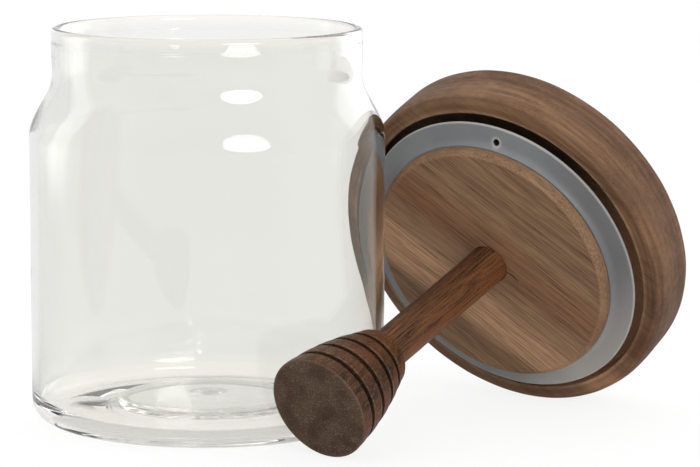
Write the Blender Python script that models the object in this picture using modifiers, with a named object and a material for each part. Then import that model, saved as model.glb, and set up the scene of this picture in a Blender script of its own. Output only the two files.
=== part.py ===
"""Open glass honey jar with its turned wooden lid leaning beside it.

The lid stands on its edge, underside to the front. A silicone ring is stretched round its plug,
and a honey dipper is glued into the middle of the plug, so that the dipper's end rests on the
surface too. Metres, +Z up. The front view looks along +Y.
"""
import math

import bmesh
import bpy
from mathutils import Euler, Vector

# Glass jar, standing on z = 0 with its axis vertical
BODY_RADIUS = 0.0500
NECK_RADIUS = 0.0434
LIP_RADIUS = 0.0437
JAR_HEIGHT = 0.1106
SHOULDER_LOW = 0.0800
SHOULDER_HIGH = 0.0980
LIP_DEPTH = 0.0050
BODY_WALL = 0.0023
NECK_WALL = 0.0021
FOOT_CORNER = 0.0062
FOOT_RING_INNER = 0.0355
KICK_HEIGHT = 0.0032
BASE_THICKNESS = 0.0032
INNER_CORNER = 0.0055
DIMPLE_RADIUS = 0.0060
DIMPLE_DEPTH = 0.0010

# Wooden lid. Its own z = 0 is the face of the rim, and its top is at LID_THICKNESS
LID_RADIUS = 0.0505
LID_THICKNESS = 0.0182
LID_TOP_ROUND = 0.0025
LID_CROWN = 0.0004
RIM_OUTER = 0.0499
RIM_ROUND = 0.0016
GROOVE_RADIUS = 0.0452
GROOVE_DEPTH = 0.0060
RING_SEAT_RADIUS = 0.0352
PLUG_RADIUS = 0.03695
PLUG_LIP = 0.0019
PLUG_HEIGHT = 0.0074
PLUG_CHAMFER = 0.0011
PLUG_FACE_RADIUS = 0.0348

# Silicone ring: a band round the plug with one wide fin
GAP = 0.0003
BAND_RADIUS = 0.0372
BAND_HEIGHT = 0.0051
FIN_RADIUS = 0.0434
FIN_STAND = 0.0021
FIN_THICKNESS = 0.0011
FIN_ROOT_THICKNESS = 0.0017
VENT_RADIUS = 0.0009
VENT_CIRCLE = 0.0382
VENT_ANGLE = -78.3

# Honey dipper. Its own z = 0 is level with the lid's rim, and its head points down
STICK_RADIUS = 0.0057
DIPPER_LENGTH = 0.09145
STICK_IN_LID = 0.0040
HEAD_START = 0.0612
HEAD_SHOULDER = 0.0028
HEAD_SHOULDER_RADIUS = 0.0089
HEAD_BELLY = 0.0142
HEAD_BELLY_AT = 0.0780
HEAD_END_RADIUS = 0.0149
HEAD_EDGE_ROUND = 0.0004
RIB_GROOVES = 4
FIRST_RIB_GROOVE = 0.0684
RIB_GROOVE_PITCH = 0.00607
RIB_GROOVE_WIDTH = 0.0010
RIB_GROOVE_DEPTH = 0.0019
SOCKET_PLAY = 0.0004
SOCKET_SPARE = 0.0005

# Where the lid leans: its centre from the jar's axis, its turn about Z and its lean from upright
LID_X = 0.0838
LID_Y = 0.0089
LID_TURN = -35.4
LID_LEAN = -66.8
DIPPER_TURN = -37.35

# Number of sides of the turned pieces
JAR_SIDES = 52
LID_SIDES = 60
DIPPER_SIDES = 28
ARC_STEPS = 4
SHOULDER_STEPS = 7

# Colours: base colour, roughness, transmission
GLASS = ((0.93, 0.94, 0.92), 0.03, 1.0)
LID_WOOD = ((0.24, 0.13, 0.075), 0.55, 0.0)
SILICONE = ((0.36, 0.38, 0.40), 0.45, 0.0)
DIPPER_WOOD = ((0.13, 0.055, 0.030), 0.50, 0.0)


def clear_scene():
    for obj in list(bpy.data.objects):
        bpy.data.objects.remove(obj, do_unlink=True)


def new_collection(name):
    collection = bpy.data.collections.new(name)
    bpy.context.scene.collection.children.link(collection)
    return collection


def new_material(name, look):
    colour, roughness, transmission = look
    material = bpy.data.materials.new(name)
    material.use_nodes = True
    shader = material.node_tree.nodes["Principled BSDF"]
    shader.inputs["Base Color"].default_value = (*colour, 1.0)
    shader.inputs["Roughness"].default_value = roughness
    shader.inputs["Metallic"].default_value = 0.0
    shader.inputs["Transmission Weight"].default_value = transmission
    return material


def new_empty(name, parent=None):
    empty = bpy.data.objects.new(name, None)
    bpy.context.scene.collection.objects.link(empty)
    empty.parent = parent
    return empty


def arc(centre, radii, start, end, steps=ARC_STEPS):
    """Points on an ellipse about centre, from the start to the end angle in degrees."""
    points = []
    for i in range(steps + 1):
        angle = math.radians(start + (end - start) * i / steps)
        points.append((centre[0] + radii[0] * math.cos(angle), centre[1] + radii[1] * math.sin(angle)))
    return points


def turned(name, outline, sides, collection, material=None, ring=False):
    """Turn an outline of (radius, height) points about Z. A ring's outline closes on itself."""
    mesh = bpy.data.meshes.new(name)
    shape = bmesh.new()
    verts = [shape.verts.new((radius, 0.0, height)) for radius, height in outline]
    for first, second in zip(verts, verts[1:]):
        shape.edges.new((first, second))
    if ring:
        shape.edges.new((verts[-1], verts[0]))
    shape.to_mesh(mesh)
    shape.free()
    obj = bpy.data.objects.new(name, mesh)
    collection.objects.link(obj)
    screw = obj.modifiers.new("Turn", "SCREW")
    screw.axis = "Z"
    screw.angle = math.tau
    screw.steps = sides
    screw.render_steps = sides
    screw.use_merge_vertices = True
    screw.merge_threshold = 0.00001
    screw.use_smooth_shade = True
    if material:
        mesh.materials.append(material)
    return obj


def cutter_cylinder(name, radius, low, high, sides, collection):
    """An upright cylinder from low to high that only cuts."""
    mesh = bpy.data.meshes.new(name)
    shape = bmesh.new()
    bmesh.ops.create_cone(shape, cap_ends=True, segments=sides, radius1=radius, radius2=radius, depth=high - low)
    bmesh.ops.translate(shape, verts=shape.verts, vec=(0.0, 0.0, (high + low) / 2))
    shape.to_mesh(mesh)
    shape.free()
    obj = bpy.data.objects.new(name, mesh)
    collection.objects.link(obj)
    obj.hide_render = True
    obj.display_type = "WIRE"
    return obj


def cut(obj, cutter):
    boolean = obj.modifiers.new("Cut " + cutter.name, "BOOLEAN")
    boolean.operation = "DIFFERENCE"
    boolean.solver = "EXACT"
    boolean.object = cutter


def shoulder_radius(height, low_radius, high_radius):
    """The shoulder runs from the body in to the neck in one soft double curve."""
    share = (height - SHOULDER_LOW) / (SHOULDER_HIGH - SHOULDER_LOW)
    share = min(max(share, 0.0), 1.0)
    return high_radius + (low_radius - high_radius) * (1 + math.cos(math.pi * share)) / 2


def shoulder(low_radius, high_radius):
    points = []
    for i in range(SHOULDER_STEPS + 1):
        height = SHOULDER_LOW + (SHOULDER_HIGH - SHOULDER_LOW) * i / SHOULDER_STEPS
        points.append((shoulder_radius(height, low_radius, high_radius), height))
    return points


def jar_outline():
    """From the middle of the inner floor, up the inside, over the lip and down the outside."""
    inner_body = BODY_RADIUS - BODY_WALL
    inner_neck = NECK_RADIUS - NECK_WALL
    dome_top = KICK_HEIGHT + BASE_THICKNESS
    floor_edge = inner_body - INNER_CORNER
    points = [(0.0, dome_top - DIMPLE_DEPTH), (DIMPLE_RADIUS * 0.5, dome_top - DIMPLE_DEPTH * 0.6)]
    points += [(DIMPLE_RADIUS, dome_top), (FOOT_RING_INNER * 0.55, dome_top - KICK_HEIGHT * 0.12)]
    points += [(FOOT_RING_INNER * 0.8, dome_top - KICK_HEIGHT * 0.55), (FOOT_RING_INNER, BASE_THICKNESS + 0.0002)]
    points += arc((floor_edge, BASE_THICKNESS + INNER_CORNER), (INNER_CORNER, INNER_CORNER), -90, 0)
    points += shoulder(inner_body, inner_neck)
    lip_top = JAR_HEIGHT - LIP_DEPTH
    points.append((inner_neck, lip_top))
    lip_wall = (LIP_RADIUS - inner_neck) / 2
    points += arc((inner_neck + lip_wall, JAR_HEIGHT - lip_wall), (lip_wall, lip_wall), 180, 0, 6)
    points.append((NECK_RADIUS, lip_top))
    points += reversed(shoulder(BODY_RADIUS, NECK_RADIUS))
    points += arc((BODY_RADIUS - FOOT_CORNER, FOOT_CORNER), (FOOT_CORNER, FOOT_CORNER), 0, -90, 5)
    points += [(FOOT_RING_INNER, 0.0), (FOOT_RING_INNER * 0.82, KICK_HEIGHT * 0.45)]
    points += [(FOOT_RING_INNER * 0.58, KICK_HEIGHT * 0.85), (0.0, KICK_HEIGHT)]
    return points


def lid_outline():
    """From the middle of the top, down the outside, over the rim, round the groove to the plug."""
    top_edge = LID_RADIUS - 0.0002 - LID_TOP_ROUND
    points = [(0.0, LID_THICKNESS + LID_CROWN), (top_edge * 0.6, LID_THICKNESS + LID_CROWN * 0.7)]
    points += arc((top_edge, LID_THICKNESS - LID_TOP_ROUND), (LID_TOP_ROUND, LID_TOP_ROUND), 90, 0, 5)
    points += [(LID_RADIUS, LID_THICKNESS * 0.45), (LID_RADIUS - 0.0001, LID_THICKNESS * 0.2)]
    points += arc((RIM_OUTER - RIM_ROUND, RIM_ROUND), (RIM_ROUND, RIM_ROUND), 0, -90, 3)
    points += [(GROOVE_RADIUS, 0.0), (GROOVE_RADIUS, GROOVE_DEPTH), (RING_SEAT_RADIUS, GROOVE_DEPTH)]
    lip_start = -(PLUG_HEIGHT - PLUG_CHAMFER - PLUG_LIP)
    points += [(RING_SEAT_RADIUS, lip_start), (PLUG_RADIUS, lip_start)]
    points += [(PLUG_RADIUS, -(PLUG_HEIGHT - PLUG_CHAMFER)), (PLUG_FACE_RADIUS, -PLUG_HEIGHT)]
    points.append((0.0, -PLUG_HEIGHT))
    return points


def ring_outline():
    """Section of the silicone ring: the band on the plug, and the fin that stands out from it."""
    band_low = -(PLUG_HEIGHT - PLUG_CHAMFER - PLUG_LIP) + GAP
    band_high = band_low + BAND_HEIGHT
    inner = RING_SEAT_RADIUS + GAP
    fin_root_face = -FIN_STAND - (FIN_ROOT_THICKNESS - FIN_THICKNESS) / 2
    points = [(inner, band_high), (BAND_RADIUS, band_high)]
    points.append((BAND_RADIUS, fin_root_face + FIN_ROOT_THICKNESS))
    tip = FIN_THICKNESS / 2
    points += arc((FIN_RADIUS - tip, tip - FIN_STAND), (tip, tip), 90, -90)
    points += [(BAND_RADIUS, fin_root_face), (BAND_RADIUS - 0.0002, band_low), (inner, band_low)]
    return points


def head_radius(along):
    """Radius of the dipper's head, from its shoulder to its end, before the grooves are cut."""
    shoulder_end = HEAD_START + HEAD_SHOULDER
    if along < shoulder_end:
        share = (shoulder_end - along) / HEAD_SHOULDER
        return STICK_RADIUS + (HEAD_SHOULDER_RADIUS - STICK_RADIUS) * math.sqrt(max(1 - share * share, 0.0))
    # A parabola from the shoulder's end through its guide point to the head's end
    a = shoulder_end - 2 * HEAD_BELLY_AT + DIPPER_LENGTH
    b = 2 * (HEAD_BELLY_AT - shoulder_end)
    share = (-b + math.sqrt(b * b + 4 * a * (along - shoulder_end))) / (2 * a)
    near = HEAD_SHOULDER_RADIUS * (1 - share) ** 2
    return near + 2 * HEAD_BELLY * share * (1 - share) + HEAD_END_RADIUS * share ** 2


def dipper_outline():
    """From the hidden end in the lid, down the stick, over the ribs to the flat end."""
    points = [(0.0, STICK_IN_LID), (STICK_RADIUS - 0.0005, STICK_IN_LID), (STICK_RADIUS, STICK_IN_LID - 0.0005)]
    points.append((STICK_RADIUS, -HEAD_START * 0.5))
    for share in (0.0, 0.15, 0.5, 1.0):
        along = HEAD_START + HEAD_SHOULDER * share
        points.append((head_radius(along), -along))
    previous = HEAD_START + HEAD_SHOULDER
    for i in range(RIB_GROOVES):
        place = FIRST_RIB_GROOVE + RIB_GROOVE_PITCH * i
        middle = (previous + place - RIB_GROOVE_WIDTH / 2) / 2
        points.append((head_radius(middle), -middle))
        for offset, depth in ((-0.5, 0.0), (-0.25, 1.0), (0.25, 1.0), (0.5, 0.0)):
            along = place + offset * RIB_GROOVE_WIDTH
            points.append((head_radius(along) - depth * RIB_GROOVE_DEPTH, -along))
        previous = place + RIB_GROOVE_WIDTH / 2
    edge = HEAD_EDGE_ROUND
    points += arc((HEAD_END_RADIUS - edge, edge - DIPPER_LENGTH), (edge, edge), 0, -90, 2)
    points.append((0.0, -DIPPER_LENGTH))
    return points


def resting_height(outline, lean):
    """Height of the outline's origin when the leaned, turned shape just touches the surface."""
    sine = math.sin(abs(lean))
    cosine = math.cos(lean)
    return max(radius * sine - height * cosine for radius, height in outline)


def dipper_lean(height):
    """Lean at which the edge of the dipper's end touches the surface below the lid's centre."""
    reach = math.hypot(DIPPER_LENGTH, HEAD_END_RADIUS)
    return -(math.atan2(HEAD_END_RADIUS, DIPPER_LENGTH) + math.acos(height / reach))


def build_jar(parts, root):
    jar = turned("glass_jar", jar_outline(), JAR_SIDES, parts, new_material("clear_glass", GLASS))
    jar.parent = root
    return jar


def build_lid(parts, pose, socket):
    lid = turned("wooden_lid", lid_outline(), LID_SIDES, parts, new_material("lid_wood", LID_WOOD))
    lid.parent = pose
    cut(lid, socket)
    return lid


def build_ring(parts, cutters, pose):
    silicone = new_material("silicone", SILICONE)
    ring = turned("seal_ring", ring_outline(), LID_SIDES, parts, silicone, ring=True)
    ring.parent = pose
    vent = cutter_cylinder("vent_cutter", VENT_RADIUS, -0.004, 0.002, 8, cutters)
    vent.parent = pose
    angle = math.radians(VENT_ANGLE)
    vent.location = (VENT_CIRCLE * math.cos(angle), VENT_CIRCLE * math.sin(angle), 0.0)
    cut(ring, vent)
    return ring


def build_dipper(parts, pose):
    wood = new_material("dipper_wood", DIPPER_WOOD)
    dipper = turned("honey_dipper", dipper_outline(), DIPPER_SIDES, parts, wood)
    dipper.parent = pose
    return dipper


def stand_on_origin(root, pieces):
    """Move the whole set so that the origin is the bottom centre of its box."""
    bpy.context.view_layer.update()
    depsgraph = bpy.context.evaluated_depsgraph_get()
    corners = []
    for piece in pieces:
        evaluated = piece.evaluated_get(depsgraph)
        mesh = evaluated.to_mesh()
        corners += [piece.matrix_world @ vert.co for vert in mesh.vertices]
        evaluated.to_mesh_clear()
    low = Vector(min(corner[axis] for corner in corners) for axis in range(3))
    high = Vector(max(corner[axis] for corner in corners) for axis in range(3))
    root.location = (-(low.x + high.x) / 2, -(low.y + high.y) / 2, -low.z)


def main():
    clear_scene()
    parts = new_collection("glass_honey_jar")
    cutters = new_collection("cutters")
    root = new_empty("set_origin")

    lean = math.radians(LID_LEAN)
    lid_height = resting_height(lid_outline(), lean)
    lid_pose = new_empty("lid_pose", root)
    lid_pose.location = (LID_X, LID_Y, lid_height)
    lid_pose.rotation_euler = Euler((lean, 0.0, math.radians(LID_TURN)))
    dipper_pose = new_empty("dipper_pose", root)
    dipper_pose.location = lid_pose.location
    dipper_pose.rotation_euler = Euler((dipper_lean(lid_height), 0.0, math.radians(DIPPER_TURN)))

    depth = STICK_IN_LID + SOCKET_SPARE
    radius = STICK_RADIUS + SOCKET_PLAY
    socket = cutter_cylinder("socket_cutter", radius, -PLUG_HEIGHT * 2, depth, DIPPER_SIDES, cutters)
    socket.parent = dipper_pose

    pieces = [
        build_jar(parts, root),
        build_lid(parts, lid_pose, socket),
        build_ring(parts, cutters, lid_pose),
        build_dipper(parts, dipper_pose),
    ]
    stand_on_origin(root, pieces)


main()
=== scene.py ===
"""Looks of an open glass honey jar with its wooden lid, seal ring and honey dipper.

Laid out as a Blender add-on. Run as a script, it builds every piece round the packed frame.
"""
import math

import bmesh
import bpy
import numpy as np
from bpy.props import FloatProperty, FloatVectorProperty, IntProperty, PointerProperty
from mathutils import Euler, Matrix, Vector, noise


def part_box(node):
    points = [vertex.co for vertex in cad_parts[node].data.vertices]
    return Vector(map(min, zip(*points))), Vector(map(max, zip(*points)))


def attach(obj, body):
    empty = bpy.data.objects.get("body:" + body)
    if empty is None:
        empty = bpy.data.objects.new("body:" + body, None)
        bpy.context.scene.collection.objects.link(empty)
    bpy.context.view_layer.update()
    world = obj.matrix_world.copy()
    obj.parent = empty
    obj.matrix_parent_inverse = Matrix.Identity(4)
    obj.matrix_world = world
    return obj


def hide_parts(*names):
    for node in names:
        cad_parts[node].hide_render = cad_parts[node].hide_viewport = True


bl_info = {
    "name": "Glass honey jar",
    "version": (1, 0, 0),
    "blender": (4, 5, 0),
    "location": "3D View > Sidebar > Honey Jar",
    "description": "Builds a glass honey jar with a wooden lid, a seal ring and a honey dipper",
    "category": "Add Mesh",
}

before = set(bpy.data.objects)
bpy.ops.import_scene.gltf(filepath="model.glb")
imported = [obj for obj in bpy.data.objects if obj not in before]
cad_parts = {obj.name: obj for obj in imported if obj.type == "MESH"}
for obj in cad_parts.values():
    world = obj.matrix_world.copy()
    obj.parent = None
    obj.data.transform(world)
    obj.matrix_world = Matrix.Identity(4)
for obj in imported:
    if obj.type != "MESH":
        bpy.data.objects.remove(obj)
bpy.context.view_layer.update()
JAR_LOW, JAR_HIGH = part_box("glass_jar")
JAR_AXIS = (JAR_LOW + JAR_HIGH) / 2
JAR_FOOT = Vector((JAR_AXIS.x, JAR_AXIS.y, JAR_LOW.z))
BODY = "root"
MILLIMETRES = 1000.0

# The camera sees the photograph's frame, 700 by 467 pixels
PHOTO_WIDTH = 700
FOCAL_PIXELS = 3101.0
SENSOR_WIDTH = 36.0
LIGHT_BOUNCES = 32

# How bright the surroundings are in a mirror, from white at 1
SIDE_LEVEL = 0.66
BACK_LEVEL = 0.86
FRONT_LEVEL = 0.42
# The bright stripes that the jar's neck mirrors: azimuth, half width and soft edge in degrees, and strength
STRIPES = ((140.0, 20.0, 8.0, 1.0), (-108.0, 8.0, 2.5, 0.8))
# How much dimmer the surroundings are on the viewer's side, for matt surfaces
FRONT_DIMMING = 0.56
# The floor's own light, seen straight on, and its share of the mirrored surroundings
FLOOR_GLOW = 0.84
FLOOR_MIRROR_SHARE = 0.85


class JarSizes(bpy.types.PropertyGroup):
    """Sizes of the glass jar"""

    body_radius: FloatProperty(
        name="Body Radius", description="Outer radius of the body", unit="LENGTH",
        default=(JAR_HIGH.x - JAR_LOW.x) / 2)
    height: FloatProperty(
        name="Height", description="From the foot to the lip", unit="LENGTH", default=JAR_HIGH.z - JAR_LOW.z)
    neck_radius: FloatProperty(
        name="Neck Radius", description="Outer radius of the neck", unit="LENGTH", default=0.0434)
    lip_radius: FloatProperty(
        name="Lip Radius", description="Outer radius of the lip", unit="LENGTH", default=0.0437)
    lip_depth: FloatProperty(
        name="Lip Depth", description="Height of the upright lip", unit="LENGTH", default=0.0055)
    lip_swell: FloatProperty(
        name="Lip Swell", description="Height over which the neck swells to the lip", unit="LENGTH",
        default=0.0070)
    lip_bead: FloatProperty(
        name="Lip Bead", description="Swell of the lip on its inner side", unit="LENGTH", default=0.0004)
    shoulder_low: FloatProperty(
        name="Shoulder Low", description="Height where the shoulder starts", unit="LENGTH", default=0.080)
    shoulder_high: FloatProperty(
        name="Shoulder High", description="Height where the neck starts", unit="LENGTH", default=0.098)
    body_wall: FloatProperty(
        name="Body Wall", description="Thickness of the glass in the body", unit="LENGTH", default=0.0023)
    neck_wall: FloatProperty(
        name="Neck Wall", description="Thickness of the glass in the neck", unit="LENGTH", default=0.0021)
    foot_corner: FloatProperty(
        name="Foot Corner", description="Radius of the outer corner at the foot", unit="LENGTH",
        default=0.0062)
    inner_corner: FloatProperty(
        name="Inner Corner", description="Radius of the inner corner at the floor", unit="LENGTH",
        default=0.0055)
    foot_ring: FloatProperty(
        name="Foot Ring", description="Inner radius of the ring it stands on", unit="LENGTH", default=0.0292)
    kick: FloatProperty(
        name="Kick", description="Rise of the base's middle", unit="LENGTH", default=0.0032)
    base: FloatProperty(
        name="Base", description="Thickness of the base", unit="LENGTH", default=0.0032)
    dimple_radius: FloatProperty(
        name="Dimple Radius", description="Radius of the mark in the floor's middle", unit="LENGTH",
        default=0.006)
    dimple_depth: FloatProperty(
        name="Dimple Depth", description="Depth of that mark", unit="LENGTH", default=0.001)
    waviness: FloatProperty(
        name="Waviness", description="How far the blown wall strays", unit="LENGTH", default=0.00010)
    sides: IntProperty(name="Sides", description="Sides of the turned mesh", default=192, min=16)


class LidSizes(bpy.types.PropertyGroup):
    """Sizes of the wooden lid and where it leans"""

    radius: FloatProperty(name="Radius", description="Largest radius", unit="LENGTH", default=0.0505)
    thickness: FloatProperty(
        name="Thickness", description="From the rim's face to the top", unit="LENGTH", default=0.0182)
    side_taper: FloatProperty(
        name="Side Taper", description="How far the side leans in towards the top", unit="LENGTH",
        default=0.0002)
    top_round: FloatProperty(
        name="Top Round", description="Radius of the top's edge", unit="LENGTH", default=0.0025)
    crown: FloatProperty(name="Crown", description="Swell of the top", unit="LENGTH", default=0.0004)
    rim_outer: FloatProperty(
        name="Rim Outer", description="Outer radius where the rim's round ends", unit="LENGTH",
        default=0.0499)
    rim_round: FloatProperty(
        name="Rim Round", description="Radius of the rim's outer edge", unit="LENGTH", default=0.0016)
    groove_radius: FloatProperty(
        name="Groove Radius", description="Outer radius of the groove", unit="LENGTH", default=0.0452)
    groove_depth: FloatProperty(
        name="Groove Depth", description="Depth of the groove", unit="LENGTH", default=0.0060)
    seat_radius: FloatProperty(
        name="Seat Radius", description="Radius of the plug where the ring sits", unit="LENGTH",
        default=0.0352)
    plug_radius: FloatProperty(
        name="Plug Radius", description="Radius of the plug's lip", unit="LENGTH", default=0.03695)
    plug_lip: FloatProperty(
        name="Plug Lip", description="Height of the plug's lip", unit="LENGTH", default=0.0019)
    plug_height: FloatProperty(
        name="Plug Height", description="From the rim's face to the plug's face", unit="LENGTH",
        default=0.0074)
    plug_chamfer: FloatProperty(
        name="Plug Chamfer", description="Height of the plug's chamfer", unit="LENGTH", default=0.0011)
    plug_face: FloatProperty(
        name="Plug Face", description="Radius of the plug's flat face", unit="LENGTH", default=0.0356)
    offset: FloatVectorProperty(
        name="Offset", description="The lid's centre from the jar's axis", subtype="TRANSLATION",
        size=2, default=(0.0838, 0.0089))
    lean: FloatProperty(
        name="Lean", description="Turn about the lid's own level line", subtype="ANGLE",
        default=math.radians(-66.8))
    turn: FloatProperty(
        name="Turn", description="Turn about the upright", subtype="ANGLE", default=math.radians(-35.4))
    grain: FloatProperty(
        name="Grain", description="Direction of the grain in the lid", subtype="ANGLE",
        default=math.radians(39.0))
    pale_streak: FloatProperty(
        name="Pale Streak", description="How far from the middle the paler streak runs", unit="LENGTH",
        default=0.016)
    wobble: FloatProperty(
        name="Wobble", description="Unevenness of the turning", unit="LENGTH", default=0.00012)
    wobble_length: FloatProperty(
        name="Wobble Length", description="How long that unevenness is", unit="LENGTH", default=0.012)
    sides: IntProperty(name="Sides", description="Sides of the turned mesh", default=360, min=16)


class RingSizes(bpy.types.PropertyGroup):
    """Sizes of the silicone seal ring"""

    fin_radius: FloatProperty(
        name="Fin Radius", description="Outer radius of the fin", unit="LENGTH", default=0.0434)
    fin_stand: FloatProperty(
        name="Fin Stand", description="How far the fin stands out from the rim's face", unit="LENGTH",
        default=0.0021)
    fin_thickness: FloatProperty(
        name="Fin Thickness", description="Thickness of the fin's tip", unit="LENGTH", default=0.0011)
    fin_root: FloatProperty(
        name="Fin Root", description="Thickness of the fin at the band", unit="LENGTH", default=0.0017)
    band_radius: FloatProperty(
        name="Band Radius", description="Outer radius of the band", unit="LENGTH", default=0.0372)
    band_height: FloatProperty(
        name="Band Height", description="Height of the band", unit="LENGTH", default=0.0051)
    gap: FloatProperty(name="Gap", description="Play on the plug", unit="LENGTH", default=0.0002)
    vent_radius: FloatProperty(
        name="Vent Radius", description="Radius of the vent hole", unit="LENGTH", default=0.00095)
    vent_circle: FloatProperty(
        name="Vent Circle", description="Distance of the hole from the axis", unit="LENGTH", default=0.0391)
    vent_angle: FloatProperty(
        name="Vent Angle", description="Place of the hole round the ring", subtype="ANGLE",
        default=math.radians(-77.3))
    sides: IntProperty(name="Sides", description="Sides of the turned mesh", default=240, min=16)


class DipperSizes(bpy.types.PropertyGroup):
    """Sizes of the honey dipper and how it points"""

    length: FloatProperty(
        name="Length", description="From the rim's face to the end", unit="LENGTH", default=0.09145)
    stick_radius: FloatProperty(
        name="Stick Radius", description="Radius of the stick", unit="LENGTH", default=0.0057)
    stick_in_lid: FloatProperty(
        name="Stick in Lid", description="Hidden length past the rim's face", unit="LENGTH", default=0.0040)
    head_start: FloatProperty(
        name="Head Start", description="Where the head starts", unit="LENGTH", default=0.0612)
    shoulder: FloatProperty(
        name="Shoulder", description="Length of the head's shoulder", unit="LENGTH", default=0.0028)
    shoulder_radius: FloatProperty(
        name="Shoulder Radius", description="Radius at the shoulder's end", unit="LENGTH", default=0.0089)
    belly: FloatProperty(
        name="Belly", description="Guide radius of the head's side", unit="LENGTH", default=0.0142)
    belly_at: FloatProperty(
        name="Belly at", description="Guide place of the head's side", unit="LENGTH", default=0.0780)
    end_radius: FloatProperty(
        name="End Radius", description="Radius of the flat end", unit="LENGTH", default=0.0149)
    edge_round: FloatProperty(
        name="Edge Round", description="Radius of the end's edge", unit="LENGTH", default=0.0003)
    grooves: IntProperty(name="Grooves", description="Number of grooves", default=4, min=1)
    first_groove: FloatProperty(
        name="First Groove", description="Place of the first groove", unit="LENGTH", default=0.0684)
    groove_pitch: FloatProperty(
        name="Groove Pitch", description="Step from groove to groove", unit="LENGTH", default=0.00607)
    groove_width: FloatProperty(
        name="Groove Width", description="Width of a groove", unit="LENGTH", default=0.0013)
    groove_depth: FloatProperty(
        name="Groove Depth", description="Depth of a groove", unit="LENGTH", default=0.0019)
    turn: FloatProperty(
        name="Turn", description="Turn about the upright", subtype="ANGLE", default=math.radians(-37.5))
    wobble: FloatProperty(
        name="Wobble", description="Unevenness of the turning", unit="LENGTH", default=0.00008)
    seed: IntProperty(name="Seed", description="Seed of the unevenness", default=7)
    sides: IntProperty(name="Sides", description="Sides of the turned mesh", default=128, min=8)
    rows: IntProperty(name="Rows", description="Rows along the dipper", default=501, min=16)


class FinishColours(bpy.types.PropertyGroup):
    """Colours of the finishes"""

    glass: FloatVectorProperty(
        name="Glass", description="Tint of the clear glass", subtype="COLOR", default=(0.908, 0.907, 0.886))
    glass_edge: FloatVectorProperty(
        name="Glass Edge", description="Tint at the lip and in the base", subtype="COLOR",
        default=(0.978, 0.963, 0.918))
    glass_shadow: FloatVectorProperty(
        name="Glass Shadow", description="Lamp light that the glass lets through", subtype="COLOR",
        default=(0.93, 0.93, 0.92))
    lid_light: FloatVectorProperty(
        name="Lid Light", description="Light wood of the lid", subtype="COLOR", default=(0.350, 0.208, 0.114))
    lid_dark: FloatVectorProperty(
        name="Lid Dark", description="Dark wood of the lid", subtype="COLOR", default=(0.165, 0.088, 0.047))
    lid_heart: FloatVectorProperty(
        name="Lid Heart", description="Redder streak in the lid", subtype="COLOR",
        default=(0.205, 0.084, 0.037))
    lid_pore: FloatVectorProperty(
        name="Lid Pore", description="Pores of the lid's wood", subtype="COLOR",
        default=(0.038, 0.019, 0.011))
    # Also the painted light on the groove's wall towards the lower right
    lid_tan: FloatVectorProperty(
        name="Lid Tan", description="Paler streak in the lid", subtype="COLOR", default=(0.640, 0.365, 0.210))
    # Also darkens the handling marks and the painted shade on the rim's right side
    lid_outside: FloatVectorProperty(
        name="Lid Outside", description="How the rim and the side are darker than the plug", subtype="COLOR",
        default=(0.66, 0.60, 0.56))
    # Painted shade deep in the groove
    lid_shade: FloatVectorProperty(
        name="Lid Shade", description="Wood deep in the groove", subtype="COLOR",
        default=(0.016, 0.010, 0.007))
    lid_raw: FloatVectorProperty(
        name="Lid Raw", description="Raw grain on the plug's edge", subtype="COLOR",
        default=(0.330, 0.195, 0.112))
    dipper_light: FloatVectorProperty(
        name="Dipper Light", description="Light wood of the dipper", subtype="COLOR",
        default=(0.178, 0.068, 0.022))
    dipper_dark: FloatVectorProperty(
        name="Dipper Dark", description="Dark wood of the dipper", subtype="COLOR",
        default=(0.044, 0.018, 0.008))
    dipper_heart: FloatVectorProperty(
        name="Dipper Heart", description="Redder streak in the dipper", subtype="COLOR",
        default=(0.190, 0.058, 0.016))
    dipper_pore: FloatVectorProperty(
        name="Dipper Pore", description="Pores of the dipper's wood", subtype="COLOR",
        default=(0.014, 0.007, 0.004))
    dipper_end: FloatVectorProperty(
        name="Dipper End", description="End grain of the head", subtype="COLOR",
        default=(0.100, 0.060, 0.038))
    # Also the painted highlights on the end's rim and on the grooves' edges
    dipper_dust: FloatVectorProperty(
        name="Dipper Dust", description="Pale specks in the end grain", subtype="COLOR",
        default=(0.300, 0.210, 0.140))
    dipper_head: FloatVectorProperty(
        name="Dipper Head", description="How the head is darker than the stick", subtype="COLOR",
        default=(0.66, 0.63, 0.60))
    # Painted shade in the grooves
    dipper_char: FloatVectorProperty(
        name="Dipper Groove Shade", description="How the burnt grooves are darker than the head", subtype="COLOR",
        default=(0.35, 0.32, 0.30))
    silicone: FloatVectorProperty(
        name="Silicone", description="Frosted silicone", subtype="COLOR", default=(0.198, 0.205, 0.215))
    # Paler silicone: the painted highlight along the thin edge and the painted light at the low side, also
    # round the vent hole and in patches
    silicone_edge: FloatVectorProperty(
        name="Silicone Edge", description="Thin edge of the silicone", subtype="COLOR",
        default=(0.500, 0.480, 0.450))
    # Painted shade in the vent hole and towards the ring's right side
    silicone_shade: FloatVectorProperty(
        name="Silicone Shade", description="In the vent hole and at the shaded side", subtype="COLOR",
        default=(0.026, 0.018, 0.014))
    floor: FloatVectorProperty(
        name="Floor", description="Pale floor", subtype="COLOR", default=(0.90, 0.90, 0.895))


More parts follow.
